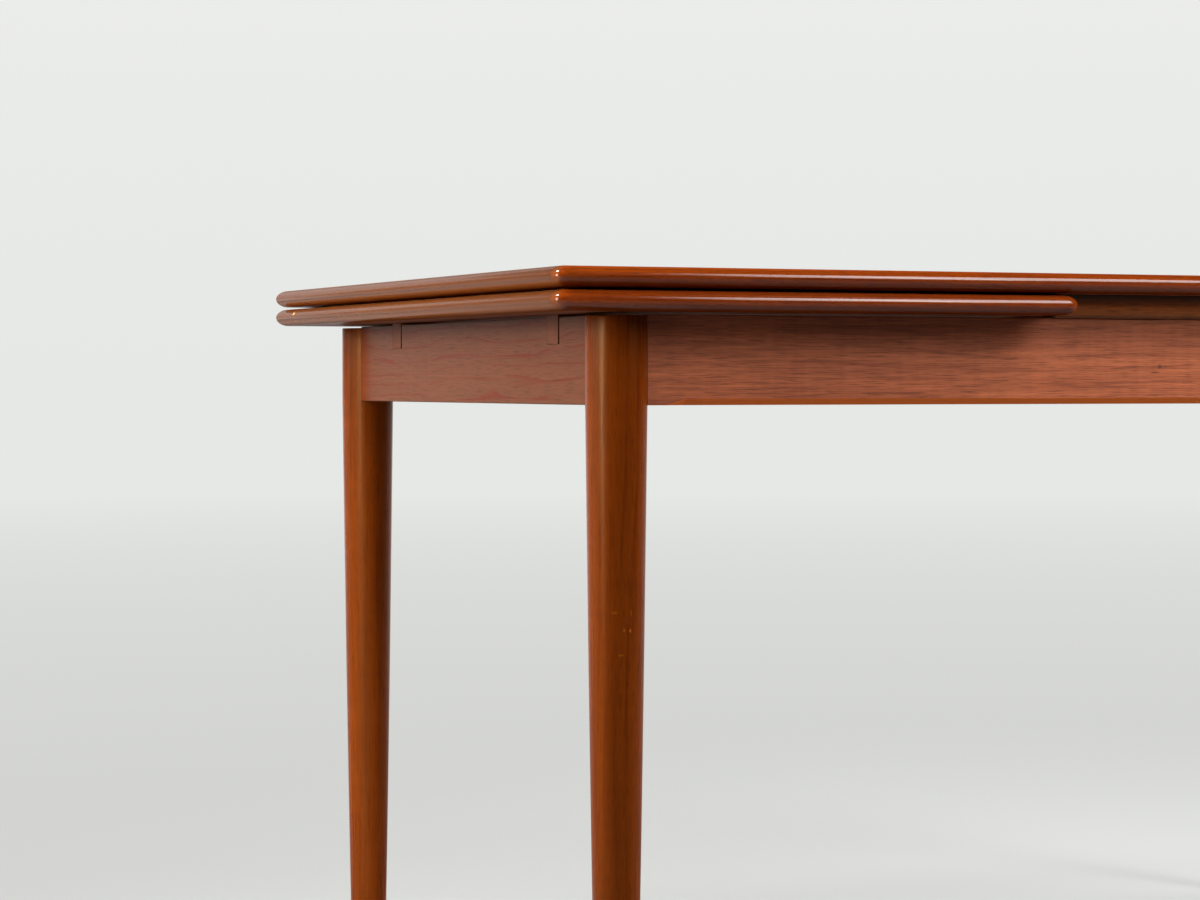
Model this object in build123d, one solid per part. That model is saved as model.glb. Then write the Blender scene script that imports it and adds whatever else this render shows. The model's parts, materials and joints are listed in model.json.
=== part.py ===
import math
import os

from build123d import *

# Draw-leaf dining table, closed: a loose top over two draw leaves and a fixed centre board, on a frame
# of four aprons and four round tapered legs. Millimetres, +X along the length, +Z up, floor at z = 0.

# Boards
leaf_length = 520.0
centre_board_length = 268.0
leaf_end_gap = 2.0               # from a stowed leaf to the centre board
top_width = 830.0
table_height = 730.0
board_thickness = 18.0           # the top and both leaves
board_gap = 2.3                  # air between the top and a stowed leaf
leaf_clearance = 1.7             # air between a leaf and the aprons
nose_depth = 14.0                # half-elliptical edge of the boards, and their corner radius in plan
lipping_width = 24.0             # solid edging around each veneered panel
centre_board_overhang = 3.0      # past the outer face of each side apron
centre_lipping_width = 6.0
top_seat_gap = 0.3               # between the loose top and the centre board

# Legs
leg_end_inset = 86.0             # leg axis in from the end of the top
leg_side_inset = 70.0            # and from its side
leg_head_diameter = 55.0         # straight through the aprons
leg_middle_diameter = 46.8       # halfway from the aprons to the floor
leg_foot_diameter = 36.0
leg_head_drop = 1.2              # leg head below the top of the aprons
leg_arris = 1.2                  # eased rim at the head and the foot

# Aprons
apron_height = 80.0
apron_thickness = 21.0
apron_face_offset = 15.0         # outer face outside the leg axes
apron_arris = 0.8
cope_clearance = 0.1             # glue line between an apron's hollow end and its leg
edge_chamfer = 5.5               # stopped chamfer under the side aprons
chamfer_stop = 40.0              # from the leg axis to where the chamfer starts
chamfer_run = 21.0               # length over which it grows to full size

# Slides under the leaves
slide_width = 26.0
slide_inset = 121.0              # middle of a pair of neighbouring slides from a side apron's inner face
slide_pair_gap = 2.0
slide_play = 3.5                 # open side of a slide in its notch
slide_tight = 0.3                # guided side of a slide in its notch
slide_seat = 0.3                 # under a slide in its notch
slide_head_room = 0.5            # between a slide and the centre board
slide_tail = 14.5                # slide past its stop peg
notch_depth = 25.0
stop_peg_diameter = 10.0
stop_peg_drop = 12.0             # stop peg below its slide
stop_peg_socket = 14.0           # stop peg inside its slide
stop_clearance = 0.5             # stop peg to centre rail with the leaf fully drawn

# Centre rail
rail_thickness = 40.0
rail_height = 60.0

# Guide pegs of the loose top
top_lift = 22.0                  # how far the top can rise before the discs stop it
guide_peg_spacing = 160.0
guide_peg_diameter = 24.0
guide_peg_play = 0.5
stop_disc_diameter = 44.0
stop_disc_thickness = 6.0
stop_disc_clearance = 0.3

# Corner blocks
block_near_leg = 45.0            # legs of the two right triangles that bound a block in plan
block_far_leg = 80.0
block_height = 50.0
block_rise = 15.0                # block above the bottom of the aprons
block_counterbore = 6.0          # head of a block screw below the slanted face's middle

# Dowels
dowel_diameter = 8.0
dowel_length = 36.0
dowel_in_leg = 15.0
dowel_in_apron = 12.0            # centre rail dowel inside its side apron
dowel_rises = (20.0, 55.0)       # leg dowels above the bottom of the aprons
rail_dowel_drops = (15.0, 45.0)  # centre rail dowels below the top of the aprons
dowel_chamfer = 0.8

# Screws
screw_shank = 4.0
screw_head = 8.4
screw_rim = 0.4                  # straight rim of the countersunk head
screw_slot_width = 1.0
screw_slot_depth = 1.2
fixing_clearance = 0.05          # around every dowel and screw in its hole
end_clearance = 0.5              # beyond the tip of every dowel and screw
slide_screw_count = 3
slide_screw_margin = 45.0        # first and last slide screw from the ends of the leaf's bearing
slide_screw_counterbore = 8.0
slide_screw_grip = 9.6           # into the leaf
board_screw_grip = 23.0          # into the centre rail or a side apron
board_screw_span = 200.0         # between the two screws in each side apron
rail_screw_span = 180.0          # between the inner two screws in the centre rail
rail_screw_inset = 39.0          # outer two screws in the centre rail from the side aprons
block_screw_grip = 14.0          # into the apron
peg_screw_grip = 10.0            # into the top

# Worked-out levels and lines
top_length = 2 * (leaf_length + leaf_end_gap) + centre_board_length
leg_x = top_length / 2 - leg_end_inset
leg_y = top_width / 2 - leg_side_inset
end_face = leg_x + apron_face_offset
side_face = leg_y + apron_face_offset
end_inner = end_face - apron_thickness
side_inner = side_face - apron_thickness
top_bottom = table_height - board_thickness
leaf_bottom = top_bottom - board_gap - board_thickness
apron_top = leaf_bottom - leaf_clearance
apron_bottom = apron_top - apron_height
leg_head_radius = leg_head_diameter / 2
leaf_inner = centre_board_length / 2 + leaf_end_gap
notch_floor = apron_top - notch_depth
slide_bottom = notch_floor + slide_seat
slide_line = side_inner - slide_inset
slide_stagger = (slide_width + slide_pair_gap) / 2
slide_lines = (-slide_line - slide_stagger, slide_line - slide_stagger)
stop_peg_x = rail_thickness / 2 + stop_peg_diameter / 2 + leaf_length + stop_clearance
slide_end = stop_peg_x + slide_tail
centre_board_thickness = top_bottom - top_seat_gap - apron_top
centre_board_width = 2 * (side_face + centre_board_overhang)
apron_middle = apron_face_offset - apron_thickness / 2
disc_top = apron_top - top_lift - stop_disc_clearance

corners = {"front_left": (-1, -1), "front_right": (1, -1), "back_left": (-1, 1), "back_right": (1, 1)}
half_turn = Rot(0, 0, 180)
nodes = {}


def prism(points, low, height):
    return Pos(0, 0, low) * extrude(make_face(Polyline(*points, close=True)), height)


def block(low, high):
    size = [b - a for a, b in zip(low, high)]
    return Pos(*low) * Box(*size, align=(Align.MIN, Align.MIN, Align.MIN))


def aim(shape, point, outward):
    return Plane(origin=point, z_dir=outward) * shape


def turned(profile):
    return revolve(Plane.XZ * make_face(Polyline(*profile, close=True)), Axis.Z)


# Fixings, made with the head or one end at the origin and the rest below it
def screw_profile(length, spare, over):
    shank = screw_shank / 2 + spare
    head = screw_head / 2 + spare
    tip = length + (end_clearance if spare else 0)
    neck = shank - head - screw_rim
    return [(0, over), (head, over), (head, -screw_rim), (shank, neck), (shank, shank - tip), (0, -tip)]


def wood_screw(length):
    slot = Box(2 * screw_head, screw_slot_width, 2 * screw_slot_depth)
    return turned(screw_profile(length, 0, 0)) - slot


def screw_hole(length, counterbore):
    return turned(screw_profile(length, fixing_clearance, counterbore))


def peg(diameter, length, chamfer_size):
    r = diameter / 2
    return turned([(0, 0), (r - chamfer_size, 0), (r, -chamfer_size), (r, chamfer_size - length),
                   (r - chamfer_size, -length), (0, -length)])


def peg_hole(diameter, length):
    r = diameter / 2 + fixing_clearance
    return Pos(0, 0, end_clearance) * turned([(0, 0), (r, 0), (r, -length - 2 * end_clearance),
                                              (0, -length - 2 * end_clearance)])


# Boards: a flat panel and four lippings with a half-elliptical nose, mitred at the corners
def nose_section():
    # From the flat to the edge along +X, from the bottom up
    half = board_thickness / 2
    curve = EllipticalCenterArc((0, half), nose_depth, half, start_angle=-90, arc_size=180)
    return make_face([curve, Line((0, board_thickness), (0, 0))])


def lipping(length, width):
    # Along the front edge of a board that is centred on the origin
    x, y = length / 2 - nose_depth, width / 2 - nose_depth
    u, v = length / 2 - lipping_width, width / 2 - lipping_width
    strip = prism([(-x, -y), (x, -y), (u, -v), (-u, -v)], 0, board_thickness)
    section = Plane((0, 0, 0), x_dir=(0, -1, 0), z_dir=(-1, 0, 0)) * nose_section()
    strip += Pos(x, -y, 0) * extrude(section, dir=(-1, 0, 0), amount=2 * x)
    for side, turn in ((-1, -45), (1, 45)):
        strip += Pos(side * x, -y, 0) * revolve(section, Axis.Z, turn)
    return strip


def lipped_board(length, width, middle_x, low):
    panel = Box(length - 2 * lipping_width, width - 2 * lipping_width, board_thickness,
                align=(Align.CENTER, Align.CENTER, Align.MIN))
    long_edge, short_edge = lipping(length, width), lipping(width, length)
    turned_edges = {"front": (long_edge, 0), "right": (short_edge, 90), "back": (long_edge, 180),
                    "left": (short_edge, 270)}
    place = Pos(middle_x, 0, low)
    pieces = {key: place * Rot(0, 0, turn) * edge for key, (edge, turn) in turned_edges.items()}
    return {"panel": place * panel} | pieces


# Where the dowels and screws go: a point on each and the direction it points out of the wood
def leg_dowel_places():
    reach = math.sqrt(leg_head_radius ** 2 - apron_middle ** 2) - dowel_in_leg + dowel_length
    places = []
    for sx, sy in corners.values():
        for rise in dowel_rises:
            z = apron_bottom + rise
            places.append(((sx * (leg_x - reach), sy * (leg_y + apron_middle), z), (-sx, 0, 0)))
            places.append(((sx * (leg_x + apron_middle), sy * (leg_y - reach), z), (0, -sy, 0)))
    return places


def rail_dowel_places():
    end = side_inner + dowel_in_apron
    return [((0, s * end, apron_top - drop), (0, s, 0)) for s in (-1, 1) for drop in rail_dowel_drops]


def block_screw_places():
    middle = (block_near_leg + block_far_leg) / 2
    head = block_far_leg - middle - block_counterbore
    z = apron_bottom + block_rise + block_height / 2
    places = []
    for sx, sy in corners.values():
        places.append(((sx * (end_inner - head), sy * (side_inner - middle), z), (-sx, 0, 0)))
        places.append(((sx * (end_inner - middle), sy * (side_inner - head), z), (0, -sy, 0)))
    return places, head + block_screw_grip


def board_screw_places():
    z = apron_top + centre_board_thickness
    line = leg_y + apron_middle
    in_aprons = [((sx * board_screw_span / 2, sy * line, z), (0, 0, 1)) for sx, sy in corners.values()]
    lines = (rail_screw_span / 2, side_inner - rail_screw_inset)
    in_rail = [((0, s * y, z), (0, 0, 1)) for s in (-1, 1) for y in lines]
    return in_aprons + in_rail, centre_board_thickness + board_screw_grip


def slide_screw_places():
    start, stop = -end_face + slide_screw_margin, -leaf_inner - slide_screw_margin
    step = (stop - start) / (slide_screw_count - 1)
    z = slide_bottom + slide_screw_counterbore
    rows = [((start + i * step, y, z), (0, 0, -1)) for y in slide_lines for i in range(slide_screw_count)]
    return rows, leaf_bottom - z + slide_screw_grip


def stop_peg_places():
    return [((stop_peg_x, y, slide_bottom - stop_peg_drop), (0, 0, -1)) for y in slide_lines]


def guide_peg_lines():
    return (-guide_peg_spacing / 2, guide_peg_spacing / 2)


def peg_screw_places():
    bottom = disc_top - stop_disc_thickness
    length = stop_disc_thickness + top_bottom - disc_top + peg_screw_grip
    return [((x, 0, bottom), (0, 0, -1)) for x in guide_peg_lines()], length


def group(shape, places):
    return Compound(children=[aim(shape, point, outward) for point, outward in places])


def tools(shape, places):
    return [aim(shape, point, outward) for point, outward in places]


def dowel_tools():
    hole = peg_hole(dowel_diameter, dowel_length)
    return tools(hole, leg_dowel_places()), tools(hole, rail_dowel_places())


def boxes_meet(a, b):
    return all(low <= high for low, high in zip(a.min, b.max)) and all(
        low <= high for low, high in zip(b.min, a.max))


def near(cutters, part):
    box = part.bounding_box()
    return [c for c in cutters if boxes_meet(c.bounding_box(), box)]


# Frame
def leg():
    head, middle, foot = leg_head_radius, leg_middle_diameter / 2, leg_foot_diameter / 2
    top = apron_top - leg_head_drop
    outline = [
        Line((0, 0), (foot - leg_arris, 0)),
        Line((foot - leg_arris, 0), (foot, leg_arris)),
        ThreePointArc((foot, leg_arris), (middle, apron_bottom / 2), (head, apron_bottom)),
        Line((head, apron_bottom), (head, top - leg_arris)),
        Line((head, top - leg_arris), (head - leg_arris, top)),
        Line((head - leg_arris, top), (0, top)),
        Line((0, top), (0, 0)),
    ]
    return revolve(Plane.XZ * make_face(outline), Axis.Z)


def coped_apron(half_span, face):
    # Along X, outer face towards -Y, ends hollowed to fit the round leg heads
    blank = block((-half_span, -face, apron_bottom), (half_span, apron_thickness - face, apron_top))
    outer = blank.faces().sort_by(Axis.Y)[0]
    blank = chamfer([e for e in outer.edges() if e.geom_type == GeomType.LINE
                     and abs(e.tangent_at(0).X) > 0.9], apron_arris)
    cope = Pos(0, apron_face_offset - face, apron_bottom) * Cylinder(
        leg_head_radius + cope_clearance, apron_height, align=(Align.CENTER, Align.CENTER, Align.MIN))
    return blank - [Pos(s * half_span, 0, 0) * cope for s in (-1, 1)]


def tetrahedron(a, b, c, d):
    return Solid(Shell([Face(Wire.make_polygon(face)) for face in
                        ([a, b, c], [a, b, d], [b, c, d], [c, a, d])]))


def stopped_chamfer():
    # Triangular cut along the lower outer edge of the front apron, fading out before each leg
    full = leg_x - chamfer_stop - chamfer_run
    corner = (-side_face, apron_bottom)
    inward = (-side_face + edge_chamfer, apron_bottom)
    upward = (-side_face, apron_bottom + edge_chamfer)
    face = make_face(Polyline(corner, inward, upward, close=True))
    cut = Pos(-full, 0, 0) * extrude(Plane.YZ * face, 2 * full)
    ends = []
    for s in (-1, 1):
        triangle = [(s * full, *point) for point in (corner, inward, upward)]
        ends.append(tetrahedron(*triangle, (s * (full + chamfer_run), *corner)))
    return [cut] + ends


def side_aprons(cutters):
    plain = coped_apron(leg_x, side_face) - stopped_chamfer()
    for name, apron in (("front", plain), ("back", half_turn * plain)):
        nodes["side_apron_" + name] = apron - near(cutters, apron)


def slide_notches():
    low = -slide_width / 2 - slide_play
    high = slide_width / 2 + slide_tight
    return [block((-end_face, y + low, notch_floor), (-end_inner, y + high, apron_top)) for y in slide_lines]


def end_aprons(cutters):
    across = Rot(0, 0, -90) * coped_apron(leg_y, end_face)
    plain = across - slide_notches()
    for name, apron in (("left", plain), ("right", half_turn * plain)):
        nodes["end_apron_" + name] = apron - near(cutters, apron)


def legs(cutters):
    for name, (sx, sy) in corners.items():
        post = Pos(sx * leg_x, sy * leg_y, 0) * leg()
        nodes["leg_" + name] = post - near(cutters, post)


def corner_blocks(cutters):
    low = apron_bottom + block_rise
    for name, (sx, sy) in corners.items():
        plan = [(block_near_leg, 0), (block_far_leg, 0), (0, block_far_leg), (0, block_near_leg)]
        points = [(sx * (end_inner - u), sy * (side_inner - v)) for u, v in plan]
        wedge = prism(points, low, block_height)
        nodes["corner_block_" + name] = wedge - near(cutters, wedge)


def centre_rail(cutters):
    rail = block((-rail_thickness / 2, -side_inner, apron_top - rail_height),
                 (rail_thickness / 2, side_inner, apron_top))
    reach = slide_width + slide_pair_gap / 2 + slide_play
    for s in (-1, 1):
        rail -= block((-rail_thickness / 2, s * slide_line - reach, notch_floor),
                      (rail_thickness / 2, s * slide_line + reach, apron_top))
    nodes["centre_rail"] = rail - near(cutters, rail)


def centre_board(cutters):
    x, y = centre_board_length / 2, centre_board_width / 2
    seam = y - centre_lipping_width
    top = apron_top + centre_board_thickness
    board = block((-x, -seam, apron_top), (x, seam, top)) - cutters
    hole = Cylinder(guide_peg_diameter / 2 + guide_peg_play, 3 * centre_board_thickness)
    nodes["centre_board"] = board - [Pos(px, 0, apron_top) * hole for px in guide_peg_lines()]
    strip = block((-x, -y, apron_top), (x, -seam, top))
    nodes["centre_lipping_front"] = strip
    nodes["centre_lipping_back"] = half_turn * strip


def frame():
    leg_dowel_holes, rail_dowel_holes = dowel_tools()
    block_places, block_length = block_screw_places()
    board_places, board_length = board_screw_places()
    block_holes = tools(screw_hole(block_length, 2 * block_far_leg), block_places)
    board_holes = tools(screw_hole(board_length, 1), board_places)
    legs(leg_dowel_holes)
    side_aprons(leg_dowel_holes + rail_dowel_holes + block_holes + board_holes)
    end_aprons(leg_dowel_holes + block_holes)
    corner_blocks(block_holes)
    centre_rail(rail_dowel_holes + board_holes)
    centre_board(board_holes)
    dowel = peg(dowel_diameter, dowel_length, dowel_chamfer)
    nodes["leg_dowels"] = group(dowel, leg_dowel_places())
    nodes["rail_dowels"] = group(dowel, rail_dowel_places())
    nodes["corner_block_screws"] = group(wood_screw(block_length), block_places)
    nodes["centre_board_screws"] = group(wood_screw(board_length), board_places)


# Loose top on two guide pegs that run in the centre board
def loose_top():
    places, length = peg_screw_places()
    holes = tools(screw_hole(length, 1), places)
    for key, piece in lipped_board(top_length, top_width, 0, top_bottom).items():
        name = "top_panel" if key == "panel" else "top_lipping_" + key
        nodes[name] = piece - holes if key == "panel" else piece
    disc = peg(stop_disc_diameter, stop_disc_thickness, dowel_chamfer)
    for side, x, hole in zip(("left", "right"), guide_peg_lines(), holes):
        shaft = Pos(x, 0, disc_top) * Cylinder(guide_peg_diameter / 2, top_bottom - disc_top,
                                               align=(Align.CENTER, Align.CENTER, Align.MIN))
        nodes["guide_peg_" + side] = shaft - hole
        nodes["stop_disc_" + side] = Pos(x, 0, disc_top) * disc - hole
    nodes["guide_peg_screws"] = group(wood_screw(length), places)


# Draw leaves, each on two slides that reach past the centre rail
def slide(y):
    low_top = apron_top - slide_head_room
    side = [(-end_face, slide_bottom), (slide_end, slide_bottom), (slide_end, low_top),
            (-leaf_inner, low_top), (-leaf_inner, leaf_bottom), (-end_face, leaf_bottom)]
    bar = extrude(Plane.XZ * make_face(Polyline(*side, close=True)), slide_width)
    return Pos(0, y + slide_width / 2, 0) * bar


def left_leaf():
    places, length = slide_screw_places()
    holes = tools(screw_hole(length, 2 * slide_screw_counterbore), places)
    stop_length = stop_peg_drop + stop_peg_socket
    sockets = tools(peg_hole(stop_peg_diameter, stop_length), stop_peg_places())
    middle_x = leaf_length / 2 - top_length / 2
    pieces = {}
    for key, piece in lipped_board(leaf_length, top_width, middle_x, leaf_bottom).items():
        name = "leaf_panel" if key == "panel" else "leaf_lipping_" + key
        pieces[name] = piece - holes if key == "panel" else piece
    for name, y in zip(("slide_front", "slide_back"), slide_lines):
        bar = slide(y)
        pieces[name] = bar - near(holes + sockets, bar)
    pieces["slide_screws"] = group(wood_screw(length), places)
    pieces["stop_pegs"] = group(peg(stop_peg_diameter, stop_length, dowel_chamfer), stop_peg_places())
    return pieces


def leaves():
    swapped = {"front": "back", "back": "front", "left": "right", "right": "left"}
    for name, piece in left_leaf().items():
        stem, _, end = name.rpartition("_")
        nodes["left_" + name] = piece
        nodes["right_" + stem + "_" + swapped.get(end, end)] = half_turn * piece


frame()
loose_top()
leaves()
os.makedirs("parts", exist_ok=True)
for name, shape in nodes.items():
    export_step(shape, f"parts/{name}.step")
print(len(nodes), "nodes, top", top_length, "x", top_width, "mm, height", table_height, "mm")
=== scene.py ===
import json
import math
import bmesh
import bpy
import numpy as np
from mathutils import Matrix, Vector

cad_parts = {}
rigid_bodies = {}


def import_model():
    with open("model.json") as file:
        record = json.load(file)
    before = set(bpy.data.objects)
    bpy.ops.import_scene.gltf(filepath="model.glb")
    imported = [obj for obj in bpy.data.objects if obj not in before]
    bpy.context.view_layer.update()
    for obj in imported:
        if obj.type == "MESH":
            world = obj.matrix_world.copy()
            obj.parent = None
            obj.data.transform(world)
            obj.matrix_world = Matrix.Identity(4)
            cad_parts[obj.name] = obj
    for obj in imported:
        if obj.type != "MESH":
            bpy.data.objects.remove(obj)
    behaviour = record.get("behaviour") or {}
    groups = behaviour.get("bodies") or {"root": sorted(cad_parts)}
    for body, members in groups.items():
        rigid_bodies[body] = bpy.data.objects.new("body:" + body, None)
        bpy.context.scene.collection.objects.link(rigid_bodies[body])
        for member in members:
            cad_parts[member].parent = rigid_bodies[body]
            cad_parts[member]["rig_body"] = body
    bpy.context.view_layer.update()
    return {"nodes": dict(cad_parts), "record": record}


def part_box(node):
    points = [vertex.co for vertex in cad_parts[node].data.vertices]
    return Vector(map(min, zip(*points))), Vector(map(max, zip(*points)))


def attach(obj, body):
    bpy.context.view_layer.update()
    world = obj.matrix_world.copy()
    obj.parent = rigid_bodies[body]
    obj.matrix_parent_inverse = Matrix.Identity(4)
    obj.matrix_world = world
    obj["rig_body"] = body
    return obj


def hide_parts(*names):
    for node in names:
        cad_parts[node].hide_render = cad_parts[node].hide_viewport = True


# Draw-leaf table in lacquered teak, seen from the front left corner, just under the top
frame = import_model()
nodes = frame["nodes"]
slotOf = {part["node"]: part["material_slot"] for part in frame["record"]["subparts"]}
print("frame loaded:", len(nodes), "nodes")

mm = 0.001
# Sockets of a mix node, which has them under one name for every data type
mixBy, vectorA, vectorB, colourA, colourB = 0, 4, 5, 6, 7
vectorOut, colourOut = 1, 2


def linear(hexColour):  # sRGB hex to linear RGBA
    srgb = np.array([int(hexColour[i:i + 2], 16) for i in (1, 3, 5)]) / 255
    rgb = np.where(srgb <= 0.04045, srgb / 12.92, ((srgb + 0.055) / 1.055) ** 2.4)
    return (*rgb.tolist(), 1.0)


# One node with its settings, its sockets linked or set, and its ramp stops
def addNode(tree, kind, inputs=None, stops=None, **settings):
    node = tree.nodes.new(kind)
    for name, value in settings.items():
        setattr(node, name, value)
    for key, value in (inputs or {}).items():
        if isinstance(value, bpy.types.NodeSocket):
            tree.links.new(value, node.inputs[key])
        else:
            node.inputs[key].default_value = value
    for i, (place, shade) in enumerate(stops or []):
        stop = node.color_ramp.elements[i] if i < 2 else node.color_ramp.elements.new(place)
        stop.position = place
        stop.color = shade
    return node


def newMaterial(name):
    material = bpy.data.materials.new(name)
    material.use_nodes = True
    material.node_tree.nodes.clear()
    return material, material.node_tree


def finishMaterial(tree, shader):
    addNode(tree, "ShaderNodeOutputMaterial", {"Surface": shader.outputs[0]})


# Teak: red to golden brown, darker growth lines and short open pores along the grain, under clear lacquer.
# ring: mm between growth lines, lineShare of it dark, by lines; breaks: noise levels where they fade out;
# wave: how far they stray, run and spread: mm of one stray along and across the grain;
# pores: how dark, poreFrom: noise level above which one opens, poreSize: mm along and across the grain,
# wider than the real 5 by 0.3 so that they show; bump: their relief, sway: that of a hand planed edge;
# specular and tint: gloss of the wood itself, coat: that of the lacquer on it
teakLooks = {
    "leg": dict(light="#763306", dark="#5b2202", line="#481803", pore="#3c1303", worn="#9a5a26",
                ring=9.0, lineShare=0.45, lines=0.5, breaks=(0.35, 0.65), wave=0.8, run=500.0, spread=60.0,
                pores=0.5, poreFrom=0.54, poreSize=(14.0, 0.9), bump=0.06, sway=0.2,
                roughness=0.28, specular=0.2, tint="#ffdb9a", coat=0.0, coatRoughness=0.2),
    "lipping": dict(light="#8c3b0b", dark="#6c2708", line="#481704", pore="#3a1204", worn="#96552a",
                    ring=7.0, lineShare=0.45, lines=0.5, breaks=(0.35, 0.65), wave=0.9, run=400.0,
                    spread=60.0, pores=0.5, poreFrom=0.54, poreSize=(12.0, 0.9), bump=0.05, sway=0.25,
                    roughness=0.4, specular=0.0, tint="#ffffff", coat=1.0, coatRoughness=0.1),
    # the same veneer as the end aprons, written lighter here as painted light
    "sideApron": dict(light="#c76d43", dark="#884325", line="#6f331a", pore="#4a1e0e", worn="#c06a1c",
                      ring=11.0, lineShare=0.3, lines=0.5, breaks=(0.4, 0.62), wave=0.9, run=420.0,
                      spread=60.0, pores=0.6, poreFrom=0.5, poreSize=(20.0, 0.55), bump=0.05, sway=0.0,
                      roughness=0.48, specular=0.55, tint="#ffffff", coat=0.0, coatRoughness=0.3),
    # the same veneer as the side aprons, written darker here as painted shade
    "endApron": dict(light="#673820", dark="#5d321a", line="#601e06", pore="#30120a", worn="#7a4a36",
                     ring=11.0, lineShare=0.22, lines=1.0, breaks=(0.3, 0.5), wave=0.6, run=230.0,
                     spread=24.0, pores=0.65, poreFrom=0.52, poreSize=(26.0, 0.75), bump=0.08, sway=0.0,
                     roughness=0.35, specular=0.1, tint="#ffffff", coat=0.0, coatRoughness=0.3),
    "board": dict(light="#8e4e2c", dark="#763e20", line="#5c2c14", pore="#4a2312", worn="#b4744a",
                  ring=14.0, lineShare=0.4, lines=0.5, breaks=(0.35, 0.65), wave=1.2, run=500.0, spread=70.0,
                  pores=0.5, poreFrom=0.52, poreSize=(12.0, 0.9), bump=0.06, sway=0.0,
                  roughness=0.5, specular=0.12, tint="#ffffff", coat=0.0, coatRoughness=0.25),
    "slide": dict(light="#704029", dark="#643621", line="#582712", pore="#4a2315", worn="#9a6444",
                  ring=8.0, lineShare=0.25, lines=0.4, breaks=(0.4, 0.62), wave=0.8, run=300.0, spread=40.0,
                  pores=0.4, poreFrom=0.52, poreSize=(11.0, 1.0), bump=0.08, sway=0.0,
                  roughness=0.45, specular=0.1, tint="#ffffff", coat=0.0, coatRoughness=0.3),
}
# Centre strip: its colours, lighter than the side aprons', are painted light where the top's overhang keeps
# light off, and painted shade darkens it along both joints, its share given from foot to head, both in mm
teakLooks["centreStrip"] = dict(teakLooks["sideApron"], light="#f4883a", dark="#cc6a28", line="#9a4418",
                                grime="#200e05", grimeFoot=691.7, grimeHead=709.7,
                                grimeShares=[(0.0, 0.75), (0.1, 0.4), (0.25, 0.25),
                                             (0.5, 0.0), (0.7, 0.5), (1.0, 0.92)])
# Short lippings: a darker, browner copy of the lipping teak, as painted shade on the nose. The flats that
# look up by so much keep a red, and so do the corners, which turn sideways by so much; the same red on flats
# that look down by so much is painted light under the boards
teakLooks["shortLipping"] = dict(teakLooks["lipping"], light="#5a3116", dark="#502911", lines=0.15, pores=0.2,
                                 bump=0.02, sway=0.1, coat=0.55, flat="#8c4a1c", flatOver=(0.97, 1.0),
                                 flatUnder=(-0.5, -0.9), corner="#86400f", cornerTurn=(0.05, 0.6))
# Side aprons: the chamfer below edgeTop, in mm, looks down by edgeTurn; its clear orange is partly bare wood
# worn back, partly painted light from the floor below
teakLooks["sideApron"].update(edge="#f47208", edgeTop=618.0, edgeFade=1.5, edgeTurn=-0.7, edgeSlack=0.25)
# End aprons: a painted reflection and shade of the far leg lies orange on the face beside it, in mm, and end
# grain in the notches, turned sideways by more than cutTurn, is dark, partly its own end grain and partly
# painted shade in the gaps
teakLooks["endApron"].update(ends="#64280a", endFrom=284.0, endTo=318.0, endShare=0.8,
                             cut="#241008", cutTurn=0.8)
# Slides: the running faces, those turned towards an end by less than a set turn, are darkened as painted
# shade in the gaps of the notches
teakLooks["slide"].update(waxed="#341a10", waxShare=0.8, waxTurn=0.5)
# Marks of use and growth: place and size in mm, and shade, which is full within markCore of the size
teakLooks["leg"]["marks"] = [((-572.9, -369.8, 413.7), (1.3, 6.0, 1.8), "#985018"),
                             ((-567.4, -369.9, 413.1), (1.4, 6.0, 1.9), "#a05a20"),
                             ((-581.3, -367.3, 428.9), (3.4, 6.0, 1.6), "#80420c"),
                             ((-575.6, -369.4, 391.6), (3.4, 6.0, 1.0), "#88480e"),
                             ((-566.6, -369.8, 428.6), (1.0, 6.0, 4.0), "#80400c")]
teakLooks["sideApron"]["marks"] = [((-17.8, -360.0, 644.9), (3.0, 3.0, 2.6), "#5e3422"),
                                   ((-23.1, -360.0, 639.5), (6.5, 3.0, 1.0), "#6a3018")]
teakLooks["shortLipping"]["marks"] = [((-654.3, 340.4, 703.6), (3.0, 4.5, 1.8), "#c09040")]
markCore = 0.4
grainTurns = {"X": (0, 0, 0), "Y": (0, 0, -math.pi / 2), "Z": (0, math.pi / 2, 0)}
# Streaks: mm along and across the grain, detail and roughness of their noise. Pores and strays take their
# mm from the look
grainLayers = {"shade": (600.0, 30.0, 2.0, 0.55), "fibre": (120.0, 2.2, 3.0, 0.55),
               "gap": (80.0, 12.0, 1.0, 0.55), "ripple": (9.0, 60.0, 1.0, 0.55),
               "sway": (70.0, 30.0, 0.0, 0.55)}
poreNoise, strayNoise = (1.5, 0.55), (2.0, 0.45)
# Growth, the same in all teak. slant: layers met in one ring along and across the grain; straySpan: rings
# in a wave of 1; crest: where in its ring a line is darkest; poreRim: noise from a pore's rim to its floor;
# fibre and ripple: their shares in the tone, which goes from light to dark between two levels
growth = dict(slant=(0.012, 0.6, 0.8), straySpan=4.0, crest=0.96, poreRim=0.16,
              fibre=0.45, ripple=0.12, tone=(0.32, 0.68))
# Lacquer: depths of pores and sway in mm; flats, turned up or down by satinTurn, are rubbed down to satin
lacquer = dict(ior=1.5, roughSpan=0.06, poreDepth=0.5, swayDepth=1.0, satin=0.15, satinTurn=(0.8, 0.97))
# Sharp edges: mm of rounding seen, and how far they are rubbed bare, between two cosines of that rounding
arris = dict(radius=1.0, samples=6, rubbed=0.6, bare=(0.99, 0.8))


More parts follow.
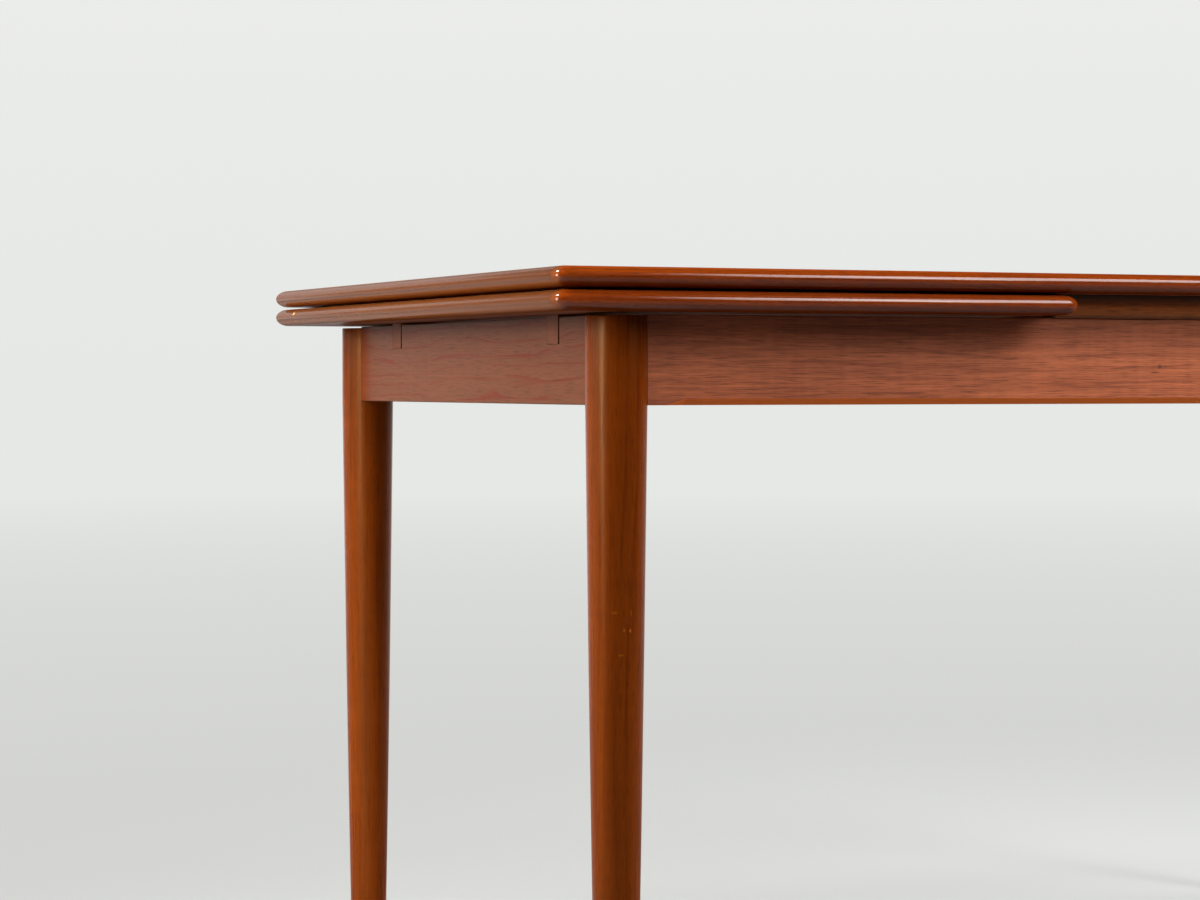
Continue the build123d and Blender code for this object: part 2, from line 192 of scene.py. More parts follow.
def teak(name, look, grain):
    material, tree = newMaterial(name)
    coords = addNode(tree, "ShaderNodeTexCoord").outputs["Object"]
    facing = addNode(tree, "ShaderNodeNewGeometry").outputs["Normal"]
    place = addNode(tree, "ShaderNodeSeparateXYZ", {0: coords}).outputs
    turn = addNode(tree, "ShaderNodeSeparateXYZ", {0: facing}).outputs
    sideways = addNode(tree, "ShaderNodeMath", {0: turn["Y"]}, operation="ABSOLUTE").outputs[0]
    along = addNode(tree, "ShaderNodeMapping", {"Vector": coords, "Rotation": grainTurns[grain]}).outputs[0]
    if "waxed" in look:  # the ends carry a thin facing with its grain across the table
        across = addNode(tree, "ShaderNodeMapping", {
            "Vector": coords, "Rotation": grainTurns["Y"]}).outputs[0]
        isSide = addNode(tree, "ShaderNodeMath", {
            0: turn["X"], 1: 0.0, 2: look["waxTurn"]}, operation="COMPARE").outputs[0]
        along = addNode(tree, "ShaderNodeMix", {
            mixBy: isSide, vectorA: across, vectorB: along}, data_type="VECTOR").outputs[vectorOut]
    noise = {}
    layers = dict(grainLayers, pore=(*look["poreSize"], *poreNoise),
                  stray=(look["run"], look["spread"], *strayNoise))
    for layer, (length, width, detail, roughness) in layers.items():
        stretched = addNode(tree, "ShaderNodeMapping", {
            "Vector": along, "Scale": (1 / (length * mm), 1 / (width * mm), 1 / (width * mm))}).outputs[0]
        noise[layer] = addNode(tree, "ShaderNodeTexNoise", {
            "Vector": stretched, "Scale": 1.0, "Detail": detail, "Roughness": roughness}).outputs["Fac"]
    # growth layers lie at a slant through the wood, so that every face cuts them into lines; they stray
    # along it, and where they stray fast the lines fork or close into eyes
    slant = addNode(tree, "ShaderNodeVectorMath", {
        0: along, 1: [share / (look["ring"] * mm) for share in growth["slant"]]},
        operation="DOT_PRODUCT").outputs["Value"]
    depth = addNode(tree, "ShaderNodeMath", {
        0: noise["stray"], 1: look["wave"] * growth["straySpan"], 2: slant},
        operation="MULTIPLY_ADD").outputs[0]
    rings = addNode(tree, "ShaderNodeMath", {0: depth}, operation="FRACT").outputs[0]
    darker = addNode(tree, "ShaderNodeMapRange", {
        "Value": rings, "From Min": growth["crest"] - look["lineShare"], "From Max": growth["crest"],
        "To Max": look["lines"]}, interpolation_type="SMOOTHSTEP").outputs[0]
    lighter = addNode(tree, "ShaderNodeMapRange", {
        "Value": rings, "From Min": 1.0, "From Max": growth["crest"]}).outputs[0]
    whole = addNode(tree, "ShaderNodeMapRange", {
        "Value": noise["gap"], "From Min": look["breaks"][0], "From Max": look["breaks"][1]}).outputs[0]
    lines = addNode(tree, "ShaderNodeMath", {0: darker, 1: lighter}, operation="MULTIPLY").outputs[0]
    lines = addNode(tree, "ShaderNodeMath", {0: lines, 1: whole}, operation="MULTIPLY").outputs[0]
    pores = addNode(tree, "ShaderNodeMapRange", {
        "Value": noise["pore"], "From Min": look["poreFrom"],
        "From Max": look["poreFrom"] + growth["poreRim"], "To Max": look["pores"]}).outputs[0]
    fibrous = addNode(tree, "ShaderNodeMix", {
        mixBy: growth["fibre"], "A": noise["shade"], "B": noise["fibre"]}, data_type="FLOAT").outputs[0]
    shimmer = addNode(tree, "ShaderNodeMix", {
        mixBy: growth["ripple"], "A": fibrous, "B": noise["ripple"]}, data_type="FLOAT").outputs[0]
    tone = addNode(tree, "ShaderNodeMapRange", {
        "Value": shimmer, "From Min": growth["tone"][0], "From Max": growth["tone"][1]}).outputs[0]
    # sharp edges are read as rounded, and their lacquer is rubbed thin in places
    rounded = addNode(tree, "ShaderNodeBevel", {
        "Radius": arris["radius"] * mm}, samples=arris["samples"]).outputs[0]
    even = addNode(tree, "ShaderNodeVectorMath", {
        0: rounded, 1: facing}, operation="DOT_PRODUCT").outputs["Value"]
    edges = addNode(tree, "ShaderNodeMapRange", {
        "Value": even, "From Min": arris["bare"][0], "From Max": arris["bare"][1],
        "To Max": arris["rubbed"]}).outputs[0]
    rubbed = addNode(tree, "ShaderNodeMath", {0: edges, 1: noise["gap"]}, operation="MULTIPLY").outputs[0]
    # each shade lies over those before it
    shades = [(lines, look["line"]), (pores, look["pore"]), (rubbed, look["worn"])]
    for middle, size, shade in look.get("marks", ()):  # a soft spot about its middle
        spot = addNode(tree, "ShaderNodeMapping", {
            "Vector": coords, "Location": [-m / s for m, s in zip(middle, size)],
            "Scale": [1 / (s * mm) for s in size]}).outputs[0]
        reach = addNode(tree, "ShaderNodeVectorMath", {0: spot}, operation="LENGTH").outputs["Value"]
        mark = addNode(tree, "ShaderNodeMapRange", {
            "Value": reach, "From Min": 1.0, "From Max": markCore}).outputs[0]
        shades.append((mark, shade))
    # painted shade on the slides' running faces, seen in the gaps of the notches
    if "waxed" in look:
        wax = addNode(tree, "ShaderNodeMath", {
            0: isSide, 1: look["waxShare"]}, operation="MULTIPLY").outputs[0]
        shades.append((wax, look["waxed"]))
    # flats that look up keep a red; on flats that look down the same red is painted light under the boards
    if "flat" in look:
        over, under = [addNode(tree, "ShaderNodeMapRange", {
            "Value": turn["Z"], "From Min": start, "From Max": stop}).outputs[0]
            for start, stop in (look["flatOver"], look["flatUnder"])]
        isFlat = addNode(tree, "ShaderNodeMath", {0: over, 1: under}, operation="MAXIMUM").outputs[0]
        shades.append((isFlat, look["flat"]))
    if "corner" in look:
        turned = addNode(tree, "ShaderNodeMapRange", {
            "Value": sideways, "From Min": look["cornerTurn"][0],
            "From Max": look["cornerTurn"][1]}).outputs[0]
        shades.append((turned, look["corner"]))
    # painted shade along both joints of the strip, under the top's overhang and above the apron
    if "grime" in look:
        rise = addNode(tree, "ShaderNodeMapRange", {
            "Value": place["Z"], "From Min": look["grimeFoot"] * mm,
            "From Max": look["grimeHead"] * mm}).outputs[0]
        dirty = addNode(tree, "ShaderNodeValToRGB", {0: rise}, stops=[
            (level, (share, share, share, 1.0)) for level, share in look["grimeShares"]]).outputs[0]
        shades.append((dirty, look["grime"]))
    # painted reflection and shade of the far leg, orange on the apron's face beside it
    if "ends" in look:
        atLeg = addNode(tree, "ShaderNodeMapRange", {
            "Value": place["Y"], "From Min": look["endFrom"] * mm, "From Max": look["endTo"] * mm,
            "To Max": look["endShare"]}).outputs[0]
        shades.append((atLeg, look["ends"]))
    # end grain in the notches, darkened further as painted shade in their gaps
    if "cut" in look:
        isCut = addNode(tree, "ShaderNodeMath", {
            0: sideways, 1: look["cutTurn"]}, operation="GREATER_THAN").outputs[0]
        shades.append((isCut, look["cut"]))
    # the chamfer's clear orange: partly bare wood, partly painted light from the floor below
    if "edge" in look:
        chamfer = addNode(tree, "ShaderNodeMath", {
            0: turn["Z"], 1: look["edgeTurn"], 2: look["edgeSlack"]}, operation="COMPARE").outputs[0]
        worn = addNode(tree, "ShaderNodeMapRange", {
            "Value": place["Z"], "From Min": look["edgeTop"] * mm,
            "From Max": (look["edgeTop"] - look["edgeFade"]) * mm, "To Max": chamfer}).outputs[0]
        shades.append((worn, look["edge"]))
    colour = addNode(tree, "ShaderNodeMix", {
        mixBy: tone, colourA: linear(look["light"]), colourB: linear(look["dark"])},
        data_type="RGBA").outputs[colourOut]
    for mask, shade in shades:
        colour = addNode(tree, "ShaderNodeMix", {
            mixBy: mask, colourA: colour, colourB: linear(shade)}, data_type="RGBA").outputs[colourOut]
    rough = addNode(tree, "ShaderNodeMapRange", {
        "Value": noise["fibre"], "To Min": look["roughness"] - lacquer["roughSpan"],
        "To Max": look["roughness"] + lacquer["roughSpan"]}).outputs[0]
    relief = addNode(tree, "ShaderNodeMath", {0: noise["fibre"], 1: pores}, operation="SUBTRACT").outputs[0]
    bump = addNode(tree, "ShaderNodeBump", {
        "Height": relief, "Strength": look["bump"], "Distance": lacquer["poreDepth"] * mm,
        "Normal": rounded}).outputs[0]
    if look["sway"]:  # the gloss wanders along the edge
        bump = addNode(tree, "ShaderNodeBump", {
            "Height": noise["sway"], "Strength": look["sway"], "Distance": lacquer["swayDepth"] * mm,
            "Normal": bump}).outputs[0]
    polish = look["coat"]
    if "corner" in look:  # corners have kept their full gloss
        polish = addNode(tree, "ShaderNodeMapRange", {
            "Value": turned, "To Min": polish, "To Max": 1.0}).outputs[0]
    if look["coat"]:  # noses are polished, flats are rubbed down with the panel
        level = addNode(tree, "ShaderNodeMath", {0: turn["Z"]}, operation="ABSOLUTE").outputs[0]
        polish = addNode(tree, "ShaderNodeMapRange", {
            "Value": level, "From Min": lacquer["satinTurn"][0], "From Max": lacquer["satinTurn"][1],
            "To Min": polish, "To Max": lacquer["satin"]}).outputs[0]
    shader = addNode(tree, "ShaderNodeBsdfPrincipled", {
        "Base Color": colour, "Roughness": rough, "IOR": lacquer["ior"],
        "Specular IOR Level": look["specular"], "Specular Tint": linear(look["tint"]),
        "Coat Weight": polish, "Coat Roughness": look["coatRoughness"], "Coat IOR": lacquer["ior"],
        "Normal": bump})
    finishMaterial(tree, shader)
    return material


teakBoardX = teak("lacquered teak veneer, boards", teakLooks["board"], "X")
teakApronX = teak("satin teak veneer, side aprons", teakLooks["sideApron"], "X")
teakApronY = teak("satin teak veneer, end aprons", teakLooks["endApron"], "Y")
teakStripX = teak("satin teak, edge of the centre board", teakLooks["centreStrip"], "X")
teakLippingX = teak("glossy solid teak, long lippings", teakLooks["lipping"], "X")
teakLippingY = teak("glossy solid teak, short lippings", teakLooks["shortLipping"], "Y")
teakLeg = teak("turned solid teak, legs", teakLooks["leg"], "Z")
teakSlide = teak("planed teak, slides", teakLooks["slide"], "X")

# Beech: pale pinkish brown with short darker ray flecks, planed or turned and left bare.
# Streaks in mm along and across the grain; flecks show between two noise levels
beechLook = dict(light="#d0a47c", dark="#b98a62", fleck="#8e5f3c", roughness=(0.5, 0.65),
                 streaks={"shade": (400.0, 12.0), "fleck": (5.0, 0.9)}, detail=2.0,
                 fleckLevels=(0.58, 0.7), flecks=0.6, bump=0.1, bumpDepth=0.4, ior=1.5)


def beech(name, look, grain):
    material, tree = newMaterial(name)
    coords = addNode(tree, "ShaderNodeTexCoord").outputs["Object"]
    along = addNode(tree, "ShaderNodeMapping", {"Vector": coords, "Rotation": grainTurns[grain]}).outputs[0]
    noise = {}
    for layer, (length, width) in look["streaks"].items():
        stretched = addNode(tree, "ShaderNodeMapping", {
            "Vector": along, "Scale": (1 / (length * mm), 1 / (width * mm), 1 / (width * mm))}).outputs[0]
        noise[layer] = addNode(tree, "ShaderNodeTexNoise", {
            "Vector": stretched, "Scale": 1.0, "Detail": look["detail"]}).outputs["Fac"]
    wood = addNode(tree, "ShaderNodeMix", {
        mixBy: noise["shade"], colourA: linear(look["light"]), colourB: linear(look["dark"])},
        data_type="RGBA").outputs[colourOut]
    flecks = addNode(tree, "ShaderNodeMapRange", {
        "Value": noise["fleck"], "From Min": look["fleckLevels"][0], "From Max": look["fleckLevels"][1],
        "To Max": look["flecks"]}).outputs[0]
    wood = addNode(tree, "ShaderNodeMix", {
        mixBy: flecks, colourA: wood, colourB: linear(look["fleck"])}, data_type="RGBA").outputs[colourOut]
    rough = addNode(tree, "ShaderNodeMapRange", {
        "Value": noise["shade"], "To Min": look["roughness"][0], "To Max": look["roughness"][1]}).outputs[0]
    bump = addNode(tree, "ShaderNodeBump", {
        "Height": noise["fleck"], "Strength": look["bump"], "Distance": look["bumpDepth"] * mm}).outputs[0]
    shader = addNode(tree, "ShaderNodeBsdfPrincipled", {
        "Base Color": wood, "Roughness": rough, "IOR": look["ior"], "Normal": bump})
    finishMaterial(tree, shader)
    return material


beechX = beech("planed beech, blocks", beechLook, "X")
beechY = beech("planed beech, rail", beechLook, "Y")
beechZ = beech("turned beech, pegs", beechLook, "Z")

# Zinc plated steel: dull bluish grey with a faint yellow cast in patches, in mm
zincLook = dict(bright="#c9c7bf", dull="#9c9a92", patch=2.5, detail=3.0, roughness=(0.28, 0.5),
                bump=0.08, bumpDepth=0.1)


def zincSteel(name, look):
    material, tree = newMaterial(name)
    coords = addNode(tree, "ShaderNodeTexCoord").outputs["Object"]
    cloud = addNode(tree, "ShaderNodeTexNoise", {
        "Vector": coords, "Scale": 1 / (look["patch"] * mm), "Detail": look["detail"]}).outputs["Fac"]
    metal = addNode(tree, "ShaderNodeMix", {
        mixBy: cloud, colourA: linear(look["bright"]), colourB: linear(look["dull"])},
        data_type="RGBA").outputs[colourOut]
    rough = addNode(tree, "ShaderNodeMapRange", {
        "Value": cloud, "To Min": look["roughness"][0], "To Max": look["roughness"][1]}).outputs[0]
    bump = addNode(tree, "ShaderNodeBump", {
        "Height": cloud, "Strength": look["bump"], "Distance": look["bumpDepth"] * mm}).outputs[0]
    shader = addNode(tree, "ShaderNodeBsdfPrincipled", {
        "Base Color": metal, "Metallic": 1.0, "Roughness": rough, "Normal": bump})
    finishMaterial(tree, shader)
    return material


screwSteel = zincSteel("zinc plated steel, screws", zincLook)


def paint(obj, material):
    obj.data.materials.clear()
    obj.data.materials.append(material)


def nodeMaterial(name):  # the grain follows the long side of each piece
    slot = slotOf[name]
    if slot == "teak_veneer_board":
        return teakBoardX
    if slot == "teak_veneer_apron":
        return teakApronX if name.startswith("side") else teakApronY
    if name.startswith("centre_lipping"):
        return teakStripX
    if slot == "teak_lipping":
        return teakLippingY if name.endswith(("left", "right")) else teakLippingX
    if slot == "planed_beech":
        return beechY if name == "centre_rail" else beechX
    return {"turned_teak": teakLeg, "slide_teak": teakSlide, "turned_beech": beechZ,
            "zinc_plated_steel": screwSteel}[slot]


for name, obj in nodes.items():
    paint(obj, nodeMaterial(name))
print("materials on all nodes")

# Meshes: metres within which points join, and degrees above which an edge stays sharp
meshRule = dict(weld=1e-6, crease=35.0)


# Quads between neighbours of a grid of points in mm; a wrapped side joins its last row to its first
def gridSurface(name, grid, wrapRows=False, wrapColumns=False, caps=()):
    rows, columns = grid.shape[:2]
    index = np.arange(rows * columns).reshape(rows, columns)
    capFaces = [index[:, c].tolist() for c in caps]
    if wrapRows:
        index = np.vstack([index, index[:1]])
    if wrapColumns:
        index = np.hstack([index, index[:, :1]])
    quads = np.stack([index[:-1, :-1], index[1:, :-1], index[1:, 1:], index[:-1, 1:]], axis=-1).reshape(-1, 4)
    mesh = bpy.data.meshes.new(name)
    mesh.from_pydata((grid.reshape(-1, 3) * mm).tolist(), [], quads.tolist() + capFaces)
    shell = bmesh.new()
    shell.from_mesh(mesh)
    bmesh.ops.remove_doubles(shell, verts=shell.verts, dist=meshRule["weld"])
    bmesh.ops.recalc_face_normals(shell, faces=shell.faces)
    shell.to_mesh(mesh)
    shell.free()
    mesh.shade_smooth()
    mesh.set_sharp_from_angle(angle=math.radians(meshRule["crease"]))
    obj = bpy.data.objects.new(name, mesh)
    bpy.context.scene.collection.objects.link(obj)
    return obj


def standFor(obj, *names):  # the piece takes the place, body, slot and finish of its nodes
    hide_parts(*names)
    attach(obj, nodes[names[0]]["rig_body"])
    paint(obj, nodeMaterial(names[0]))


def boxOf(name):  # a node's box in mm
    low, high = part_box(name)
    return np.array(low) / mm, np.array(high) / mm


# A profile (radius, height) carried round an upright axis: x = cx + r cos a, y = cy + r sin a
def turnedGrid(profile, centre, steps):
    angle = np.linspace(0, 2 * np.pi, steps, endpoint=False)
    radius, height = profile[:, :1], profile[:, 1:]
    return np.stack([centre[0] + radius * np.cos(angle), centre[1] + radius * np.sin(angle),
                     height + 0 * angle], axis=-1)


# Round rim between two angles in degrees: part of a circle about (radius - ease, height)
def roundedRim(radius, height, ease, start, stop, steps=5):
    angle = np.radians(np.linspace(start, stop, steps))
    return np.stack([radius - ease + ease * np.cos(angle), height + ease * np.sin(angle)], axis=-1)


# Legs: straight head through the aprons, then a swelling taper on one circle through three radii.
# The rim of the foot stops short of the taper's first ring
legShape = dict(foot=18.0, middle=23.4, head=27.5, ease=1.2, aprons=610.0, steps=96, rings=90,
                footRim=(-90, -10), headRim=(0, 90))


def legProfile(shape, top):
    ease = shape["ease"]
    levels = np.array([ease, shape["aprons"] / 2, shape["aprons"]])
    radii = np.array([shape["foot"], shape["middle"], shape["head"]])
    # circle: r^2 + z^2 = 2 a r + 2 b z + c
    rows = np.stack([2 * radii, 2 * levels, np.ones(3)], axis=-1)
    a, b, c = np.linalg.solve(rows, radii ** 2 + levels ** 2)
    z = np.linspace(ease, shape["aprons"], shape["rings"])
    swell = a + np.sqrt(c + a * a + b * b - (z - b) ** 2)
    foot = roundedRim(shape["foot"], ease, ease, *shape["footRim"])
    head = roundedRim(shape["head"], top - ease, ease, *shape["headRim"])
    return np.vstack([[[0, 0]], foot, np.stack([swell, z], axis=-1), head, [[0, top]]])


for name in [n for n in nodes if n.startswith("leg_") and n != "leg_dowels"]:
    low, high = boxOf(name)
    grid = turnedGrid(legProfile(legShape, high[2]), (low + high) / 2, legShape["steps"])
    leg = gridSurface("turned_" + name, grid, wrapColumns=True)
    standFor(leg, name)
print("legs turned")

# Lippings: a bullnosed section carried along one edge of a board, round half of each corner, with mitred ends
lippingShape = dict(width=24.0, nose=14.0, corner=14.0, halfCorner=(-135, -90), noseSteps=32, cornerSteps=14)


# Closed loop of (inset, height): flat under, half ellipse nose, flat over
def lippingSection(shape, thickness):
    angle = np.linspace(-np.pi / 2, np.pi / 2, shape["noseSteps"] + 1)
    nose = np.stack([shape["nose"] * (1 - np.cos(angle)), thickness / 2 * (1 + np.sin(angle))], axis=-1)
    return np.vstack([[[shape["width"], 0]], nose, [[shape["width"], thickness]]])


# At inset i the outline keeps max(corner, i) from both edges and turns with radius max(corner - i, 0)
def lippingGrid(shape, length, width, low, thickness):
    section = lippingSection(shape, thickness)
    inset, height = section[:, :1], section[:, 1:]
    turn = np.radians(np.linspace(*shape["halfCorner"], shape["cornerSteps"]))
    reach = np.maximum(shape["corner"], inset)
    arc = np.maximum(shape["corner"] - inset, 0)
    x = -length / 2 + reach + arc * np.cos(turn)
    y = -width / 2 + reach + arc * np.sin(turn)
    z = low + height + 0 * turn
    leftEnd = np.stack([x, y, z], axis=-1)
    rightEnd = np.stack([-x, y, z], axis=-1)[:, ::-1]
    return np.concatenate([leftEnd, rightEnd], axis=1)


edgeTurns = {"front": 0, "right": 90, "back": 180, "left": 270}
for board in ("top", "left_leaf", "right_leaf"):
    whole = np.array([boxOf(f"{board}_lipping_{edge}") for edge in edgeTurns])
    low, high = whole[:, 0].min(axis=0), whole[:, 1].max(axis=0)
    length, width, thickness = high - low
    middle = (low + high) / 2
    for edge, degrees in edgeTurns.items():
        span = (length, width) if edge in ("front", "back") else (width, length)
        grid = lippingGrid(lippingShape, *span, low[2], thickness)
        turn = math.radians(degrees)
        x = middle[0] + grid[..., 0] * math.cos(turn) - grid[..., 1] * math.sin(turn)
        y = middle[1] + grid[..., 0] * math.sin(turn) + grid[..., 1] * math.cos(turn)
        strip = gridSurface(f"bullnosed_{board}_lipping_{edge}", np.stack([x, y, grid[..., 2]], axis=-1),
                            wrapRows=True, caps=(0, -1))
        standFor(strip, f"{board}_lipping_{edge}")
print("lippings shaped")

# Pale studio floor, in metres. The camera sees it fade into the backdrop, so that no edge shows: haze covers
# it by fade at fadeFrom and wholly at fadeTo. Light that it throws back on the table is the darker bounce.
# Gloss on the table mirrors a share of the pale floor, more on the left than on the right, and of the haze
# at the back
studio = dict(floor="#cfd0cd", bounceLeft="#646464", bounceRight="#5a5a5a",
              near="#d2d3d0", horizon="#e6e8e5", zenith="#ecedec",
              glossLeft=0.55, glossRight=0.08, glossBack=0.9,
              leftEnd=-1.0, rightFrom=-0.2, backFrom=0.8, backTo=1.8,
              fade=0.7, fadeFrom=0.4, fadeTo=2.6, hazeFrom=1.0, hazeTo=14.0,
              clouds=1.5, cloudDetail=2.0, cloudShade=0.97,
              rings=(0.0, 1.0, 3.0, 10.0, 60.0), steps=64, drop=0.0002)


def studioFloor(look):
    material, tree = newMaterial("matt pale floor")
    coords = addNode(tree, "ShaderNodeTexCoord").outputs["Object"]
    distance = addNode(tree, "ShaderNodeVectorMath", {0: coords}, operation="LENGTH").outputs["Value"]
    place = addNode(tree, "ShaderNodeSeparateXYZ", {0: coords}).outputs
    rays = addNode(tree, "ShaderNodeLightPath").outputs
    right = addNode(tree, "ShaderNodeMapRange", {
        "Value": place["X"], "From Min": look["leftEnd"], "From Max": look["rightFrom"]}).outputs[0]
    gloss = addNode(tree, "ShaderNodeMapRange", {
        "Value": right, "To Min": look["glossLeft"], "To Max": look["glossRight"]}).outputs[0]
    sheen = addNode(tree, "ShaderNodeMath", {
        0: rays["Is Glossy Ray"], 1: gloss}, operation="MULTIPLY").outputs[0]
    shown = addNode(tree, "ShaderNodeMath", {
        0: rays["Is Camera Ray"], 1: sheen}, operation="MAXIMUM").outputs[0]
    bounce = addNode(tree, "ShaderNodeMix", {
        mixBy: right, colourA: linear(look["bounceLeft"]), colourB: linear(look["bounceRight"])},
        data_type="RGBA").outputs[colourOut]
    shade = addNode(tree, "ShaderNodeMix", {
        mixBy: shown, colourA: bounce, colourB: linear(look["floor"])}, data_type="RGBA").outputs[colourOut]
    cloud = addNode(tree, "ShaderNodeTexNoise", {
        "Vector": coords, "Scale": look["clouds"], "Detail": look["cloudDetail"]}).outputs["Fac"]
    tint = addNode(tree, "ShaderNodeMapRange", {
        "Value": cloud, "To Min": look["cloudShade"], "To Max": 1.0}).outputs[0]
    shade = addNode(tree, "ShaderNodeMix", {
        mixBy: 1.0, colourA: shade, colourB: tint},
        data_type="RGBA", blend_type="MULTIPLY").outputs[colourOut]
    far = addNode(tree, "ShaderNodeMapRange", {
        "Value": distance, "From Min": look["fadeFrom"], "From Max": look["fadeTo"], "To Min": look["fade"]},
        interpolation_type="SMOOTHSTEP").outputs[0]
    deep = addNode(tree, "ShaderNodeMapRange", {
        "Value": distance, "From Min": look["hazeFrom"], "From Max": look["hazeTo"]}).outputs[0]
    paper = addNode(tree, "ShaderNodeMix", {
        mixBy: deep, colourA: linear(look["near"]), colourB: linear(look["horizon"])},
        data_type="RGBA").outputs[colourOut]
    mirrored = addNode(tree, "ShaderNodeMapRange", {
        "Value": place["Y"], "From Min": look["backFrom"], "From Max": look["backTo"],
        "To Max": rays["Is Glossy Ray"]}).outputs[0]
    mirrored = addNode(tree, "ShaderNodeMath", {
        0: mirrored, 1: look["glossBack"]}, operation="MULTIPLY").outputs[0]
    direct = addNode(tree, "ShaderNodeMath", {
        0: rays["Is Camera Ray"], 1: mirrored}, operation="MAXIMUM").outputs[0]
    seen = addNode(tree, "ShaderNodeMath", {0: direct, 1: far}, operation="MULTIPLY").outputs[0]
    matt = addNode(tree, "ShaderNodeBsdfDiffuse", {"Color": shade}).outputs[0]
    haze = addNode(tree, "ShaderNodeEmission", {"Color": paper}).outputs[0]
    finishMaterial(tree, addNode(tree, "ShaderNodeMixShader", {0: seen, 1: matt, 2: haze}))
    return material


# Disc of points at radius r and angle a, a hair under the feet: x = r cos a, y = r sin a
discRadius = np.array(studio["rings"])[:, None] / mm
discAngle = np.linspace(0, 2 * np.pi, studio["steps"], endpoint=False)
disc = np.stack([discRadius * np.cos(discAngle), discRadius * np.sin(discAngle),
                 -studio["drop"] / mm + 0 * discRadius * discAngle], axis=-1)
floor = gridSurface("studio_floor", disc, wrapColumns=True)
paint(floor, studioFloor(studio))

# World: the camera sees the pale backdrop, from the horizon to paperTop. The light itself comes from the left
# and the back, rising between two cosines to towards, and gloss mirrors only a share of it
worldLook = dict(bright="#bababa", dim="#0a0a0a", towards=(-0.7, 0.65, 0.3), litFrom=0.2, litTo=0.9,
                 gloss=0.55, paperTop=0.15)


def studioWorld(look):
    world = bpy.data.worlds.new("studio")
    world.use_nodes = True
    tree = world.node_tree
    tree.nodes.clear()
    way = addNode(tree, "ShaderNodeTexCoord").outputs["Generated"]
    rays = addNode(tree, "ShaderNodeLightPath").outputs
    side = addNode(tree, "ShaderNodeVectorMath", {
        0: way, 1: look["towards"]}, operation="DOT_PRODUCT").outputs["Value"]
    lit = addNode(tree, "ShaderNodeMapRange", {
        "Value": side, "From Min": look["litFrom"], "From Max": look["litTo"]},
        interpolation_type="SMOOTHSTEP").outputs[0]
    mirrored = addNode(tree, "ShaderNodeMapRange", {
        "Value": rays["Is Glossy Ray"], "To Min": 1.0, "To Max": look["gloss"]}).outputs[0]
    lit = addNode(tree, "ShaderNodeMath", {0: lit, 1: mirrored}, operation="MULTIPLY").outputs[0]
    room = addNode(tree, "ShaderNodeMix", {
        mixBy: lit, colourA: linear(look["dim"]), colourB: linear(look["bright"])},
        data_type="RGBA").outputs[colourOut]
    rise = addNode(tree, "ShaderNodeSeparateXYZ", {0: way}).outputs["Z"]
    height = addNode(tree, "ShaderNodeMapRange", {
        "Value": rise, "From Min": 0.0, "From Max": look["paperTop"]}).outputs[0]
    paper = addNode(tree, "ShaderNodeMix", {
        mixBy: height, colourA: linear(studio["horizon"]), colourB: linear(studio["zenith"])},
        data_type="RGBA").outputs[colourOut]
    seen = addNode(tree, "ShaderNodeMix", {
        mixBy: rays["Is Camera Ray"], colourA: room, colourB: paper}, data_type="RGBA").outputs[colourOut]
    shine = addNode(tree, "ShaderNodeBackground", {"Color": seen}).outputs[0]
    addNode(tree, "ShaderNodeOutputWorld", {"Surface": shine})
    bpy.context.scene.world = world


studioWorld(worldLook)

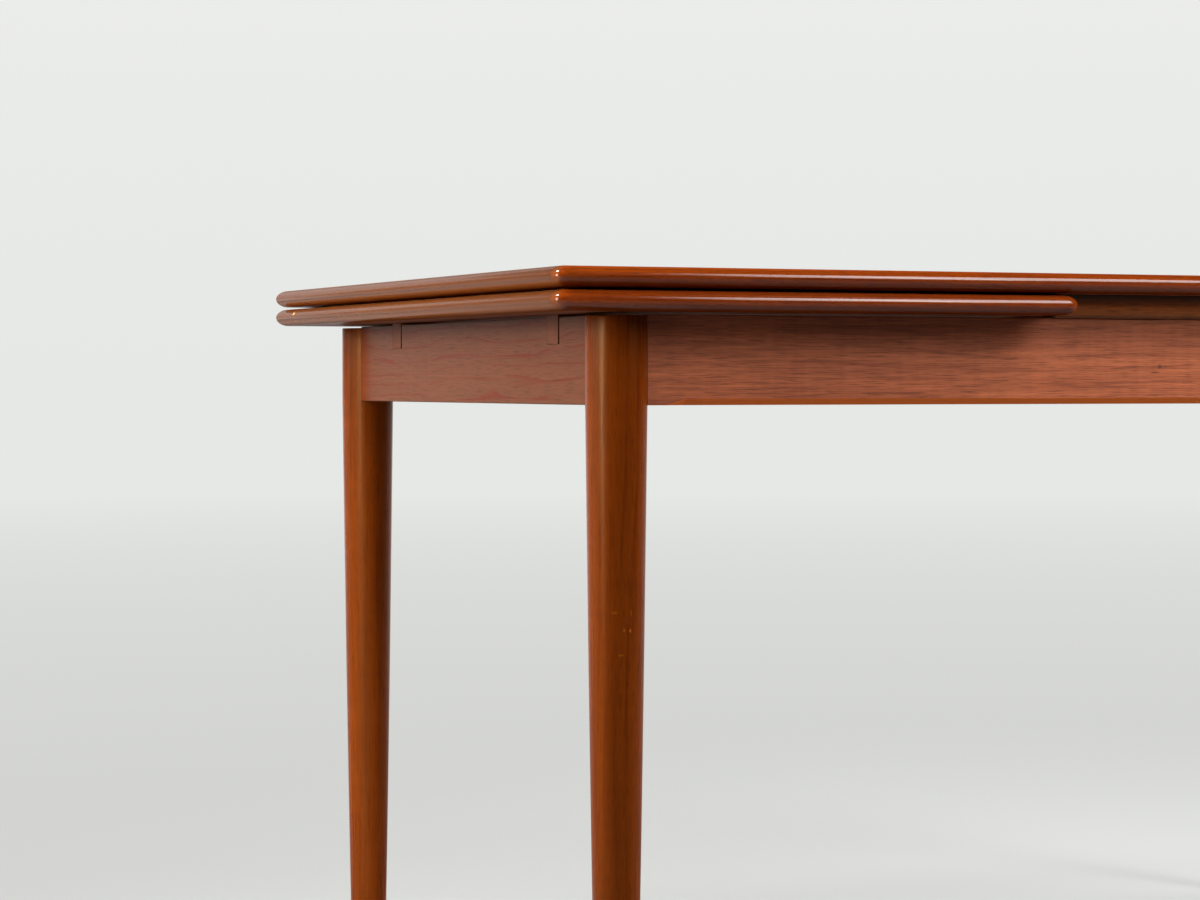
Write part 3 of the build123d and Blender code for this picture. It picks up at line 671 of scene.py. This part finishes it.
# Soft boxes: place, aim, width and height in metres, and strength in watts; matt ones leave no gloss, and
# spread, in degrees, keeps a beam narrow
lamps = {
    "right front box": dict(place=(1.2, -1.8, 1.9), aim=(0.0, -0.4, 0.65), size=(0.9, 1.8), watts=56.0,
                            matt=True),
    "right front strip": dict(place=(1.15, -1.7, 2.3), aim=(0.0, -0.4, 0.65), size=(1.1, 1.3), watts=35.0),
    "front strip": dict(place=(0.74, -2.2, 1.95), aim=(0.0, -0.4, 0.65), size=(0.5, 1.0), watts=10.0),
    "left box": dict(place=(-2.3, 0.6, 1.7), aim=(-0.55, 0.2, 1.3), size=(2.2, 1.9), watts=39.0, matt=True,
                     spread=75.0),
    "left strip": dict(place=(-2.16, -0.69, 0.85), aim=(-0.5, 0.0, 0.6), size=(0.32, 0.8), watts=13.0),
    "far leg box": dict(place=(-2.2, -1.2, 0.35), aim=(-0.57, 0.36, 0.1), size=(0.3, 0.6), watts=0.85,
                        matt=True, spread=22.0),
    "upper left box": dict(place=(-1.75, -0.05, 2.4), aim=(-0.5, 0.0, 0.6), size=(0.4, 0.4), watts=30.0),
    "right fill": dict(place=(4.0, 1.5, 1.2), aim=(-0.5, 0.0, 0.6), size=(4.0, 2.4), watts=270.0, matt=True),
    "right paper": dict(place=(4.0, 1.5, 1.2), aim=(-0.5, 0.0, 0.6), size=(4.0, 2.4), watts=110.0),
    "back paper": dict(place=(0.5, 4.0, 1.2), aim=(-0.5, 0.0, 0.6), size=(5.0, 2.4), watts=25.0),
}
openSpread = 180.0
for name, lamp in lamps.items():
    data = bpy.data.lights.new(name, "AREA")
    data.shape = "RECTANGLE"
    data.size, data.size_y = lamp["size"]
    data.energy = lamp["watts"]
    data.spread = math.radians(lamp.get("spread", openSpread))
    box = bpy.data.objects.new(name, data)
    box.location = lamp["place"]
    box.rotation_euler = (Vector(lamp["aim"]) - Vector(lamp["place"])).to_track_quat("-Z", "Y").to_euler()
    box.visible_camera = False
    box.visible_glossy = not lamp.get("matt", False)
    bpy.context.scene.collection.objects.link(box)
print("studio lit")

# Camera: near corner of the table, lens at the height of the aprons; place in metres, sensor and lens in mm
view = dict(place=(-1.6195, -2.8056, 0.6306), forward=(0.3873, 0.9217, -0.0224), sensor=36.0, lens=91.2)
cameraData = bpy.data.cameras.new("camera")
cameraData.sensor_width = view["sensor"]
cameraData.lens = view["lens"]
camera = bpy.data.objects.new("camera", cameraData)
camera.location = view["place"]
camera.rotation_euler = Vector(view["forward"]).to_track_quat("-Z", "Y").to_euler()
bpy.context.scene.collection.objects.link(camera)
bpy.context.scene.camera = camera
bpy.context.scene.view_settings.view_transform = "Standard"
